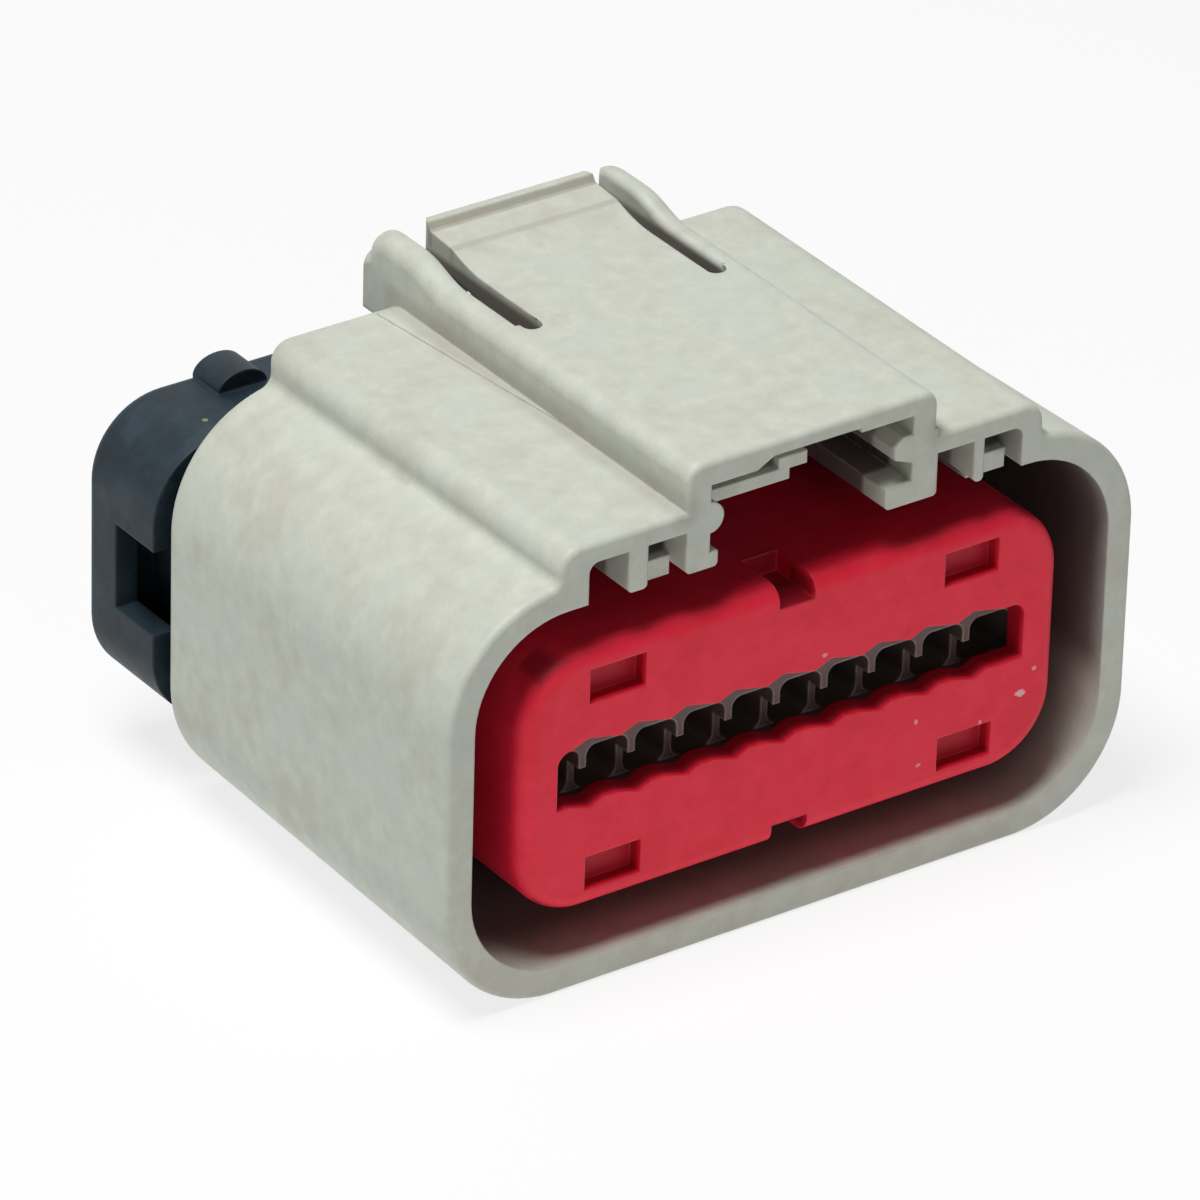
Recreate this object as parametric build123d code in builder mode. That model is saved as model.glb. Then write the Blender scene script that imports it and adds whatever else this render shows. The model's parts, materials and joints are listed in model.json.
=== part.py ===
# Sealed rectangular wire connector: shrouded housing, front terminal lock, seals, rear cover and contacts
# The mating face looks along -Y, +Z is up, and the housing rests on its flat bottom
import os

from build123d import *

os.makedirs("parts", exist_ok=True)

# Ways and rows
way_count = 10
way_pitch = 3.5
row_count = 2
row_pitch = 3.4
row_drop = 0.6
cell_width = 2.5
entry_width = 3.0
entry_height = 3.5
entry_corner = 0.7
rib_step_height = 2.1
rib_step_depth = 1.2

# Core inside the shroud, which carries the cavities
core_side_wall = 0.85
core_height = 14.1
core_corner = 2.95
cavity_height = 3.0

# Terminal lock, the cap over the front of the core
lock_skirt = 1.65
lock_clearance = 0.1
lock_face_recess = 0.1
lock_face_wall = 1.65
lock_length = 12.4
lock_edge = 1.1
lock_travel = 2.0
slot_height = 3.85
slot_rise = 0.48
slot_corner = 0.9
crest_shape = (-2.0, -0.85, 1.4)
crest_rise = 0.5
crest_round = 0.5
dip_shape = (-2.1, -0.5, 0.5)
dip_depth = 0.45
dip_round = 0.5
pocket_width = 4.0
pocket_height = 2.3
pocket_depth = 1.1
pocket_x = 12.85
pocket_z = 6.35
notch_width = 2.6
notch_depth = 1.4
notch_length = 4.0
tongue_width = 32.0
tongue_thickness = 1.0
tongue_length = 6.5
tongue_gap = 1.0
snap_height = 3.2
snap_length = 1.5
snap_start = 5.6
snap_reach = 0.9

# Shroud and body of the housing
ring_gap_x = 3.4
ring_gap_z = 3.2
wall = 1.9
roof = 1.7
inner_corner = 6.4
body_corner = 8.0
shroud_depth = 20.0
rear_length = 11.2
side_draft = 0.6
corner_growth = 0.4
top_draft = 0.4
base_trim = 0.04
rim_edge = 0.4
rear_edge = 1.2
strip_width = 1.6
strip_start = 13.0
strip_height = 0.1

# Plateau and platform on top of the housing
plateau_width = 35.0
plateau_offset = 0.2
plateau_rise = 2.3
plateau_corner = 1.5
groove_radius = 0.7
platform_half_width = 9.05
platform_offset = 0.7
platform_rise = 3.0

# Keyway under the plateau, seen from the front
hall_left = 15.2
hall_right = 16.1
hall_top = 28.6
hall_corner = 0.7
leg_bottom = 25.8
left_short_leg = (-12.4, -11.05)
left_main_leg = (-8.3, -6.65)
right_main_leg = (7.95, 9.8)
right_short_leg = (12.55, 13.25)
leg_corner = 0.3
bridge_left_top = 31.3
bridge_middle_top = 31.95
bridge_right_top = 31.65
bridge_ramp = (-3.4, -2.2)
bridge_step = 4.1
hook_reach = 1.3
hook_bottom = 28.5
hook_top = 30.3
hook_tip = (29.0, 29.7)
foot_reach = 1.9
foot_top = 27.2
left_foot_reach = 0.6
left_foot_top = 26.8
bump_height = 2.0
bump_reach = 0.95
bump_z = 29.1
layer_start = 1.7
layer_length = 5.0
web_bottom = 25.1
web_top = 26.4
bar_bottom = 28.95
bar_thickness = 0.85
bar_step = 0.7
bar_step_x = 0.2
bar_end_x = 1.45
bar_lap = 0.8

# Release latch, its guards and the pocket under it
slot_width = 1.3
slot_lead = 1.25
guard_thickness = 1.7
guard_tail = 33.9
guard_tail_corner = (1.9, 1.7)
guard_tail_cut = 1.2
guard_top_rise = 0.9
guard_rise_start = 25.0
guard_rise_end = 29.6
guard_outer_edge = 1.1
guard_inner_edge = 0.5
latch_root_gap = 0.1
latch_thickness = 1.6
latch_tail = 32.45
latch_fit = 0.05
latch_tail_corner = 1.1
pad_start = 25.4
pad_crease = (28.9, 0.68)
pad_step = (31.25, 0.85)
pad_lip = (31.55, 1.3)
pad_lip_edge = 0.35
pad_under_rise = 0.8
stop_rib = (29.9, 30.9)
stop_rib_drop = 1.6
pocket_floor = 28.3
beam_width = 6.0
beam_thickness = 1.2
beam_top = 30.6
beam_front = 11.0
beam_back = 21.4
lock_nose_length = 1.9
lock_nose_drop = 1.2

# Rear of the housing, where the wire seal and the cover sit
seal_pocket_margin = 3.2
seal_pocket_height = 10.6
seal_pocket_corner = 2.5
seal_pocket_depth = 5.7
collar_wall = 1.6
rear_floor = 2.7
rear_hollow_wall = 1.9

# Ring seal round the core
ring_seal_gap = 0.05
ring_seal_start = 12.9
ring_seal_base = 1.5
ring_rib_height = 0.75
ring_rib_length = 1.3
ring_rib_count = 3
ring_rib_round = 0.35

# Wire seal behind the contacts
wire_seal_thickness = 4.0
wire_seal_gap = 0.05
wire_hole_radius = 0.75
wire_lip_radius = 1.2
wire_lip_depth = 0.7

# Rear cover
cover_gap = 1.0
flange_length = 7.5
flange_width = 48.8
flange_height = 19.2
flange_corner = 5.0
flange_wall = 1.6
flange_edge = 0.8
cover_back_wall = 2.2
cover_block_margin = 0.8
cover_hole_radius = 1.1
cover_fit = 0.15
window_height = 5.8
window_length = 4.2
lug_width = 3.5
lug_height = 1.15
lug_length = 2.9
lug_x = -15.25
lug_setback = 0.3

# Contacts
contact_width = 2.2
contact_height = 2.7
contact_sheet = 0.25
contact_box_length = 7.0
contact_setback = 0.2
contact_rear_gap = 0.9
contact_neck_length = 1.6
contact_floor_width = 1.2
crimp_width = 1.9
crimp_height = 2.2
crimp_length = 3.0
crimp_gap = 0.7
grip_width = 2.2
grip_height = 2.6
grip_length = 3.2
spring_width = 1.2
spring_start = 0.6
spring_length = 5.6
spring_bow = 0.9

# Sizes and places that follow
span = (way_count - 1) * way_pitch
slot_length = span + cell_width
core_width = slot_length + 2 * core_side_wall
lock_width = core_width + 2 * (lock_clearance + lock_skirt)
lock_height = core_height + 2 * (lock_clearance + lock_skirt)
lock_corner = core_corner + lock_clearance + lock_skirt
inner_width = lock_width + 2 * ring_gap_x
inner_height = lock_height + 2 * ring_gap_z
body_width = inner_width + 2 * wall
body_height = inner_height + wall + roof
mid_z = wall + inner_height / 2
row_mid = mid_z - row_drop
plateau_top = body_height + plateau_rise
platform_top = plateau_top + platform_rise
body_length = shroud_depth + rear_length
total_length = body_length + cover_gap + flange_length
core_front = lock_face_recess + lock_face_wall + lock_clearance
guard_inner_half = platform_half_width - guard_thickness
latch_half_width = guard_inner_half - slot_width
pivot_z = platform_top - latch_thickness / 2
latch_root = shroud_depth + latch_root_gap
seal_pocket_width = slot_length + 2 * seal_pocket_margin
seal_pocket_start = body_length - seal_pocket_depth
barrel_length = contact_neck_length + crimp_length + crimp_gap + grip_length
contact_start = seal_pocket_start - contact_rear_gap - barrel_length - contact_box_length
cavity_start = contact_start - contact_setback
flange_start = body_length + cover_gap
tongue_offset = (row_pitch + cavity_height + tongue_thickness) / 2 + tongue_gap
way_places = [(way - (way_count - 1) / 2) * way_pitch for way in range(way_count)]
rib_places = [x + way_pitch / 2 for x in way_places[:-1]]
row_places = [row_mid + (row - (row_count - 1) / 2) * row_pitch for row in range(row_count)]


# A plane across the connector, at a depth behind the front rim, with its own Y along the part's Z
def across(depth):
    return Plane(origin=(0, depth - total_length / 2, 0), x_dir=(1, 0, 0), z_dir=(0, -1, 0))


# A plane along the connector's length at one X, with its own X along the part's Y
def along(x):
    return Plane(origin=(x, -total_length / 2, 0), x_dir=(0, 1, 0), z_dir=(1, 0, 0))


# Extrusion from the front towards the rear
def push_back(length, mode=Mode.ADD):
    extrude(amount=-length, mode=mode)


# A rectangle given by its edges
def block(left, right, bottom, top, mode=Mode.ADD):
    with Locations(((left + right) / 2, (bottom + top) / 2)):
        Rectangle(right - left, top - bottom, mode=mode)


# A rounded rectangle centred on the mating axis or at another height
def rounded(width, height, corner, middle=mid_z, mode=Mode.ADD):
    with Locations((0, middle)):
        RectangleRounded(width, height, corner, mode=mode)


# Outline of the body and its plateau, smaller towards the rear by the draft
def body_outline(side, top, corner):
    height = body_height - top
    rounded(body_width - 2 * side, height + base_trim, corner, (height - base_trim) / 2)
    left = plateau_offset - plateau_width / 2
    right = plateau_offset + plateau_width / 2
    block(left, right, height / 2, plateau_top)
    fillet(vertices().group_by(Axis.Y)[-1], plateau_corner)
    grooves = [point for point in vertices() if abs(point.Y - height) < top_draft]
    fillet(grooves, groove_radius)


# Underside of the plateau and of the bridge, with its ramp and steps
def keyway_outline():
    block(-hall_left, hall_right, mid_z, hall_top)
    fillet(vertices().group_by(Axis.Y)[-1], hall_corner)
    left = platform_offset - guard_inner_half
    right = right_main_leg[0]
    with BuildLine() as bridge:
        Polyline(
            (left, mid_z),
            (left, bridge_left_top),
            (bridge_ramp[0], bridge_left_top),
            (bridge_ramp[1], bridge_middle_top),
            (bridge_step, bridge_middle_top),
            (bridge_step, bridge_right_top),
            (right, bridge_right_top),
            (right, mid_z),
            close=True,
        )
    make_face(bridge.edges())


# The four keying rails that hang from the roof, in section
def rail_outline():
    for left, right in (left_short_leg, left_main_leg, right_main_leg, right_short_leg):
        block(left, right, leg_bottom, hall_top)
    block(left_main_leg[0], left_main_leg[1] + left_foot_reach, leg_bottom, left_foot_top)
    block(right_main_leg[0] - foot_reach, right_main_leg[1], leg_bottom, foot_top)
    fillet(vertices().group_by(Axis.Y)[0], leg_corner)
    with Locations((left_main_leg[1], bump_z)):
        Ellipse(bump_reach, bump_height / 2)
    with BuildLine() as hook:
        Polyline(
            (right_main_leg[0], hook_bottom),
            (right_main_leg[0] - hook_reach, hook_tip[0]),
            (right_main_leg[0] - hook_reach, hook_tip[1]),
            (right_main_leg[0] - hook_reach / 2, hook_top),
            (right_main_leg[1], hook_top),
            (right_main_leg[1], hook_bottom),
            close=True,
        )
    make_face(hook.edges())


# Side outline of one guard, which rises towards its tail
def guard_outline():
    with BuildLine() as side:
        rise = Spline(
            (guard_rise_start, platform_top),
            (guard_rise_end, platform_top + guard_top_rise),
            tangents=[(1, 0), (1, 0)],
        )
        top = platform_top + guard_top_rise
        Line(rise @ 1, (guard_tail - guard_tail_corner[0], top))
        corner = TangentArc(
            (guard_tail - guard_tail_corner[0], top),
            (guard_tail, top - guard_tail_corner[1]),
            tangent=(1, 0),
        )
        Polyline(
            corner @ 1,
            (guard_tail, pocket_floor),
            (shroud_depth - wall, pocket_floor),
            (shroud_depth - wall, platform_top),
            rise @ 0,
        )
    make_face(side.edges())


# Housing
with BuildPart() as housing:
    # Body with plateau, filleted at the rear
    with BuildSketch(across(0)):
        body_outline(0, 0, body_corner)
    with BuildSketch(across(body_length)):
        body_outline(side_draft, top_draft, body_corner + corner_growth)
    loft(ruled=True)
    fillet(faces().sort_by(Axis.Y)[-1].edges(), rear_edge)
    # Low strip beside the left guard, which widens towards the rear
    strip_edge = platform_offset - platform_half_width
    with BuildSketch(Plane.XY.offset(plateau_top - strip_height)):
        with BuildLine():
            Polyline(
                (strip_edge, strip_start - total_length / 2),
                (strip_edge - strip_width, body_length - rear_edge - total_length / 2),
                (strip_edge, body_length - rear_edge - total_length / 2),
                close=True,
            )
        make_face()
    extrude(amount=2 * strip_height)
    # Platform over the keyway
    with BuildSketch(across(0)):
        block(
            platform_offset - platform_half_width,
            platform_offset + platform_half_width,
            body_height,
            platform_top,
        )
    push_back(latch_root)
    # Two guards, one on each side of the latch
    for side in (-1, 1):
        outer = platform_offset + side * platform_half_width
        inner = platform_offset + side * guard_inner_half
        with BuildSketch(along(min(outer, inner))):
            guard_outline()
        extrude(amount=guard_thickness)
    # Rounded outer top edges of platform and guards, and tails that are cut back inside
    for side in (-1, 1):
        outer = platform_offset + side * platform_half_width
        flank = [edge for edge in edges() if abs(edge.center().X - outer) < latch_fit]
        crest = [edge for edge in flank if edge.center().Z > platform_top - latch_fit]
        fillet(crest, guard_outer_edge)
        inner = platform_offset + side * guard_inner_half
        tip = outer - side * guard_inner_edge
        tail = guard_tail - total_length / 2
        with BuildSketch(Plane.XY):
            with BuildLine():
                Polyline(
                    (inner, tail - guard_tail_cut),
                    (tip, tail),
                    (tip, tail + wall),
                    (inner, tail + wall),
                    close=True,
                )
            make_face()
        extrude(amount=platform_top + plateau_top, mode=Mode.SUBTRACT)
    fillet(faces().sort_by(Axis.Y)[0].edges(), rim_edge)
    # Flat underside
    split(bisect_by=Plane.XY)
    # Space for the latch between the guards, with a round seat for its root
    with BuildSketch(along(platform_offset - guard_inner_half)):
        block(latch_root, total_length, pocket_floor, platform_top + platform_rise)
        with Locations((latch_root, pivot_z)):
            Circle(latch_thickness / 2 + latch_fit)
        block(shroud_depth - wall, latch_root, pocket_floor, bridge_left_top)
    extrude(amount=2 * guard_inner_half, mode=Mode.SUBTRACT)
    # Rounded inner edges of the guards
    for side in (-1, 1):
        inner = platform_offset + side * guard_inner_half
        flank = [edge for edge in edges() if abs(edge.center().X - inner) < latch_fit]
        crest = [edge for edge in flank if edge.center().Z > platform_top - latch_fit]
        last = guard_tail - guard_tail_corner[0] - total_length / 2
        fillet([edge for edge in crest if edge.center().Y < last], guard_inner_edge)
    # Slots beside the arm, which run on past its root and end round
    with BuildSketch(Plane.XY.offset(pocket_floor)):
        for side in (-1, 1):
            x = platform_offset + side * (guard_inner_half - slot_width / 2)
            front = latch_root - slot_lead + slot_width / 2 - total_length / 2
            with Locations((x, front)):
                Circle(slot_width / 2)
            block(x - slot_width / 2, x + slot_width / 2, front, front + slot_lead)
    extrude(amount=platform_top, mode=Mode.SUBTRACT)
    # Shroud cavity and keyway
    with BuildSketch(across(0)):
        rounded(inner_width, inner_height, inner_corner)
        keyway_outline()
    push_back(shroud_depth, mode=Mode.SUBTRACT)
    # Rails of the keyway
    with BuildSketch(across(0)):
        rail_outline()
    push_back(shroud_depth)
    # Webs and stepped bar, set back behind the front layer
    with BuildSketch(across(layer_start)):
        block(left_short_leg[1], left_main_leg[0], web_bottom, web_top)
        block(right_short_leg[1], hall_right, web_bottom, web_top)
        block(left_main_leg[1], bar_step_x, bar_bottom, bar_bottom + bar_thickness)
        upper = bar_bottom + bar_step
        block(bar_step_x - bar_lap, bar_end_x, upper, upper + bar_thickness)
    push_back(layer_length)
    # Core
    with BuildSketch(across(core_front)):
        rounded(core_width, core_height, core_corner)
    push_back(shroud_depth - core_front)
    # Snap nubs that hold the terminal lock
    with BuildSketch(across(snap_start)):
        block(
            -core_width / 2 - snap_reach,
            core_width / 2 + snap_reach,
            mid_z - snap_height / 2,
            mid_z + snap_height / 2,
        )
    push_back(snap_length)
    # Entry cells, with ribs between them that step back in their lower half
    with BuildSketch(across(core_front)):
        for x in way_places:
            with Locations((x, row_mid)):
                RectangleRounded(entry_width, entry_height, entry_corner)
    push_back(cavity_start - core_front, mode=Mode.SUBTRACT)
    with BuildSketch(across(core_front)):
        bottom = row_mid - entry_height / 2
        block(-slot_length / 2, slot_length / 2, bottom, bottom + rib_step_height)
    push_back(rib_step_depth, mode=Mode.SUBTRACT)
    # Contact cavities
    with BuildSketch(across(cavity_start)):
        for x in way_places:
            for z in row_places:
                with Locations((x, z)):
                    Rectangle(cell_width, cavity_height)
    push_back(body_length - cavity_start, mode=Mode.SUBTRACT)
    # Slots for the tongues of the terminal lock
    with BuildSketch(across(core_front)):
        for side in (-1, 1):
            with Locations((0, row_mid + side * tongue_offset)):
                Rectangle(tongue_width + 2 * lock_clearance, tongue_thickness + 2 * lock_clearance)
    push_back(tongue_length + lock_clearance, mode=Mode.SUBTRACT)
    # Hollow rear, with a collar round the seal pocket
    with BuildSketch(across(body_length)):
        rounded(
            body_width - 2 * (side_draft + rear_hollow_wall),
            inner_height - top_draft,
            inner_corner,
            mid_z - top_draft / 2,
        )
        rounded(
            seal_pocket_width + 2 * collar_wall,
            seal_pocket_height + 2 * collar_wall,
            seal_pocket_corner + collar_wall,
            row_mid,
            Mode.SUBTRACT,
        )
    extrude(amount=rear_length - rear_floor, mode=Mode.SUBTRACT)
    with BuildSketch(across(body_length)):
        rounded(seal_pocket_width, seal_pocket_height, seal_pocket_corner, row_mid)
    extrude(amount=seal_pocket_depth, mode=Mode.SUBTRACT)
housing.part.label = "housing"
export_step(housing.part, "parts/housing.step")

# Release latch, a see-saw whose tail is pressed to lift the nose at its front
with BuildPart() as release_latch:
    left = platform_offset - latch_half_width
    with BuildSketch(along(left)):
        with BuildLine() as side:
            rise = Spline(
                (pad_start, platform_top),
                (pad_crease[0], platform_top + pad_crease[1]),
                tangents=[(1, 0), (1, pad_lip_edge)],
            )
            Polyline(
                rise @ 1,
                (pad_step[0], platform_top + pad_step[1]),
                (pad_lip[0], platform_top + pad_lip[1]),
                (latch_tail - pad_lip_edge, platform_top + pad_lip[1]),
                (latch_tail, platform_top + pad_lip[1] - pad_lip_edge),
                (latch_tail, platform_top - latch_thickness + pad_under_rise),
                (pad_start, platform_top - latch_thickness),
                (latch_root, platform_top - latch_thickness),
                (latch_root, platform_top),
                rise @ 0,
            )
        make_face()
        with Locations((latch_root, pivot_z)):
            Circle(latch_thickness / 2)
        # Stop rib under the pad
        block(*stop_rib, platform_top - latch_thickness - stop_rib_drop, platform_top)
    extrude(amount=2 * latch_half_width)
    tail = faces().sort_by(Axis.Y)[-1]
    fillet(tail.edges().filter_by(Axis.Z), latch_tail_corner)
    # Beam under the bridge, joined to the arm behind its root
    with BuildSketch(along(platform_offset - beam_width / 2)):
        block(beam_front, beam_back, beam_top - beam_thickness, beam_top)
        block(latch_root, beam_back, beam_top - beam_thickness, platform_top - latch_thickness / 2)
        with BuildLine():
            Polyline(
                (beam_front, beam_top - beam_thickness),
                (beam_front + lock_nose_length / 2, beam_top - beam_thickness - lock_nose_drop),
                (beam_front + lock_nose_length, beam_top - beam_thickness - lock_nose_drop),
                (beam_front + lock_nose_length, beam_top - beam_thickness),
                close=True,
            )
        make_face()
    extrude(amount=beam_width)
release_latch.part.label = "release_latch"
export_step(release_latch.part, "parts/release_latch.step")


# A skewed wave above or below an edge of the slot at each rib
def wave(level, shape, reach):
    for x in rib_places:
        with BuildLine() as crest:
            Polyline(
                (x + shape[0], level),
                (x + shape[1], level + reach),
                (x + shape[2], level),
                close=True,
            )
        make_face(crest.edges())


# Slot of the terminal lock, with waves along its top and bottom edges
def lock_slot():
    half = slot_length / 2
    low = mid_z - slot_height / 2 + slot_rise
    high = low + slot_height
    block(-half, half, low, high)
    fillet(vertices().group_by(Axis.Y)[-1], slot_corner)
    wave(high, crest_shape, crest_rise)
    wave(low, dip_shape, -dip_depth)
    fillet(vertices().group_by(Axis.Y)[-1], crest_round)
    fillet(vertices().group_by(Axis.Y)[0], dip_round)


# Terminal lock, a cap that slides forward off the core by its travel
with BuildPart() as terminal_lock:
    with BuildSketch(across(lock_face_recess)):
        rounded(lock_width, lock_height, lock_corner)
    push_back(lock_length)
    fillet(faces().sort_by(Axis.Y)[0].edges(), lock_edge)
    with BuildSketch(across(lock_face_recess + lock_face_wall)):
        rounded(
            core_width + 2 * lock_clearance,
            core_height + 2 * lock_clearance,
            core_corner + lock_clearance,
        )
    push_back(lock_length, mode=Mode.SUBTRACT)
    with BuildSketch(across(lock_face_recess)):
        lock_slot()
    push_back(lock_face_wall, mode=Mode.SUBTRACT)
    # Blind pockets in the face
    with BuildSketch(across(lock_face_recess)):
        for z in (mid_z - pocket_z, mid_z + pocket_z):
            with Locations((-pocket_x, z), (pocket_x, z)):
                Rectangle(pocket_width, pocket_height)
    push_back(pocket_depth, mode=Mode.SUBTRACT)
    # Key notches at the middle of the top and the bottom
    with BuildSketch(across(lock_face_recess)):
        for side in (-1, 1):
            with Locations((0, mid_z + side * lock_height / 2)):
                Rectangle(notch_width, 2 * notch_depth)
    push_back(notch_length, mode=Mode.SUBTRACT)
    # Windows for the snap nubs, long enough for the travel
    with BuildSketch(across(snap_start - lock_clearance)):
        with Locations((0, mid_z)):
            Rectangle(2 * lock_width, snap_height + 2 * lock_clearance)
    push_back(snap_length + lock_travel + 2 * lock_clearance, mode=Mode.SUBTRACT)
    # Tongues that keep the contacts from backing out
    with BuildSketch(across(lock_face_recess + lock_face_wall)):
        for side in (-1, 1):
            with Locations((0, row_mid + side * tongue_offset)):
                Rectangle(tongue_width, tongue_thickness)
    push_back(tongue_length)
terminal_lock.part.label = "terminal_lock"
export_step(terminal_lock.part, "parts/terminal_lock.step")

# Ring seal round the base of the core
with BuildPart() as interface_seal:
    ring_width = core_width + 2 * ring_seal_gap
    ring_height = core_height + 2 * ring_seal_gap
    ring_corner = core_corner + ring_seal_gap
    ring_length = shroud_depth - ring_seal_gap - ring_seal_start
    with BuildSketch(across(ring_seal_start)):
        rounded(
            ring_width + 2 * ring_seal_base,
            ring_height + 2 * ring_seal_base,
            ring_corner + ring_seal_base,
        )
    push_back(ring_length)
    rib_step = (ring_length - ring_rib_length) / (ring_rib_count - 1)
    for rib in range(ring_rib_count):
        reach = ring_seal_base + ring_rib_height
        with BuildSketch(across(ring_seal_start + rib * rib_step)):
            rounded(ring_width + 2 * reach, ring_height + 2 * reach, ring_corner + reach)
        push_back(ring_rib_length)
    rib_width = ring_width + 2 * reach - ring_rib_round
    rib_faces = [face for face in faces().filter_by(Axis.Y) if face.bounding_box().size.X > rib_width]
    fillet([edge for face in rib_faces for edge in face.outer_wire().edges()], ring_rib_round)
    with BuildSketch(across(ring_seal_start)):
        rounded(ring_width, ring_height, ring_corner)
    push_back(ring_length, mode=Mode.SUBTRACT)
interface_seal.part.label = "interface_seal"
export_step(interface_seal.part, "parts/interface_seal.step")

# Wire seal, a mat with one hole for each contact
with BuildPart() as wire_seal:
    mat_start = seal_pocket_start + 2 * wire_seal_gap
    with BuildSketch(across(mat_start)):
        rounded(
            seal_pocket_width - 2 * wire_seal_gap,
            seal_pocket_height - 2 * wire_seal_gap,
            seal_pocket_corner - wire_seal_gap,
            row_mid,
        )
        for z in row_places:
            with Locations(*[(x, z) for x in way_places]):
                Circle(wire_hole_radius, mode=Mode.SUBTRACT)
    push_back(wire_seal_thickness)
    for depth in (mat_start, mat_start + wire_seal_thickness - wire_lip_depth):
        with BuildSketch(across(depth)):
            for z in row_places:
                with Locations(*[(x, z) for x in way_places]):
                    Circle(wire_lip_radius)
        push_back(wire_lip_depth, mode=Mode.SUBTRACT)
wire_seal.part.label = "wire_seal"
export_step(wire_seal.part, "parts/wire_seal.step")

# Rear cover, whose plug enters the seal pocket behind the wire seal
with BuildPart() as rear_cover:
    with BuildSketch(across(flange_start)):
        rounded(flange_width, flange_height, flange_corner)
    push_back(flange_length)
    fillet(faces().sort_by(Axis.Y)[-1].edges(), flange_edge)
    plug_start = seal_pocket_start + 2 * wire_seal_gap + wire_seal_thickness + lock_clearance
    with BuildSketch(across(flange_start)):
        rounded(
            flange_width - 2 * flange_wall,
            flange_height - 2 * flange_wall,
            flange_corner - flange_wall,
        )
        rounded(
            seal_pocket_width + 2 * cover_block_margin,
            seal_pocket_height + 2 * cover_block_margin,
            seal_pocket_corner + cover_block_margin,
            row_mid,
            Mode.SUBTRACT,
        )
    push_back(flange_length - cover_back_wall, mode=Mode.SUBTRACT)
    with BuildSketch(across(plug_start)):
        rounded(
            seal_pocket_width - 2 * cover_fit,
            seal_pocket_height - 2 * cover_fit,
            seal_pocket_corner - cover_fit,
            row_mid,
        )
    push_back(total_length - plug_start - flange_edge)
    # Side windows, open to the front
    with BuildSketch(across(flange_start)):
        for side in (-1, 1):
            with Locations((side * flange_width / 2, mid_z)):
                Rectangle(2 * flange_wall, window_height)
    push_back(window_length, mode=Mode.SUBTRACT)
    # Rounded lug on the top edge
    with BuildSketch(across(total_length - lug_setback - lug_length)):
        with Locations((lug_x, mid_z + flange_height / 2)):
            Ellipse(lug_width / 2, lug_height)
    push_back(lug_length)
    # Holes for the wires
    with BuildSketch(across(plug_start)):
        for z in row_places:
            with Locations(*[(x, z) for x in way_places]):
                Circle(cover_hole_radius)
    push_back(total_length, mode=Mode.SUBTRACT)
rear_cover.part.label = "rear_cover"
export_step(rear_cover.part, "parts/rear_cover.step")


# Section of an open crimp barrel behind the contact's box
def crimp_outline(x, floor, width, height):
    block(x - width / 2, x + width / 2, floor, floor + height)
    fillet(vertices().group_by(Axis.Y)[0], contact_sheet)
    inner = width / 2 - contact_sheet
    block(x - inner, x + inner, floor + contact_sheet, floor + height, Mode.SUBTRACT)


# One contact: folded box with a bowed spring inside, then a neck and two crimp barrels
def contact(x, z):
    floor = z - contact_height / 2
    neck = contact_start + contact_box_length
    with BuildPart() as piece:
        with BuildSketch(across(contact_start)):
            block(x - contact_width / 2, x + contact_width / 2, floor, floor + contact_height)
            fillet(vertices(), contact_sheet)
            inner = contact_width / 2 - contact_sheet
            block(
                x - inner,
                x + inner,
                floor + contact_sheet,
                floor + contact_height - contact_sheet,
                Mode.SUBTRACT,
            )
        push_back(contact_box_length)
        with BuildSketch(along(x - spring_width / 2)):
            base = floor + contact_sheet / 2
            front = contact_start + spring_start
            with BuildLine():
                under = Spline(
                    (front, base),
                    (front + spring_length / 2, base + spring_bow),
                    (front + spring_length, base),
                )
                Line(under @ 1, under @ 1 + Vector(0, contact_sheet))
                upper = Spline(
                    (front + spring_length, base + contact_sheet),
                    (front + spring_length / 2, base + spring_bow + contact_sheet),
                    (front, base + contact_sheet),
                )
                Line(upper @ 1, under @ 0)
            make_face()
        extrude(amount=spring_width)
        with BuildSketch(across(neck - contact_sheet)):
            half = contact_floor_width / 2
            block(x - half, x + half, floor, floor + contact_sheet)
        push_back(contact_neck_length + crimp_length + crimp_gap + 2 * contact_sheet)
        with BuildSketch(across(neck + contact_neck_length)):
            crimp_outline(x, floor, crimp_width, crimp_height)
        push_back(crimp_length)
        with BuildSketch(across(neck + contact_neck_length + crimp_length + crimp_gap)):
            crimp_outline(x, floor, grip_width, grip_height)
        push_back(grip_length)
    return piece


# All contacts, numbered from the left of each row, lower row first
for row, z in enumerate(row_places):
    for way, x in enumerate(way_places):
        name = f"contact_{row * way_count + way + 1:02d}"
        piece = contact(x, z)
        piece.part.label = name
        export_step(piece.part, f"parts/{name}.step")
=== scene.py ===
import json
import bmesh
import bpy
from mathutils import Matrix, Vector


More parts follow.
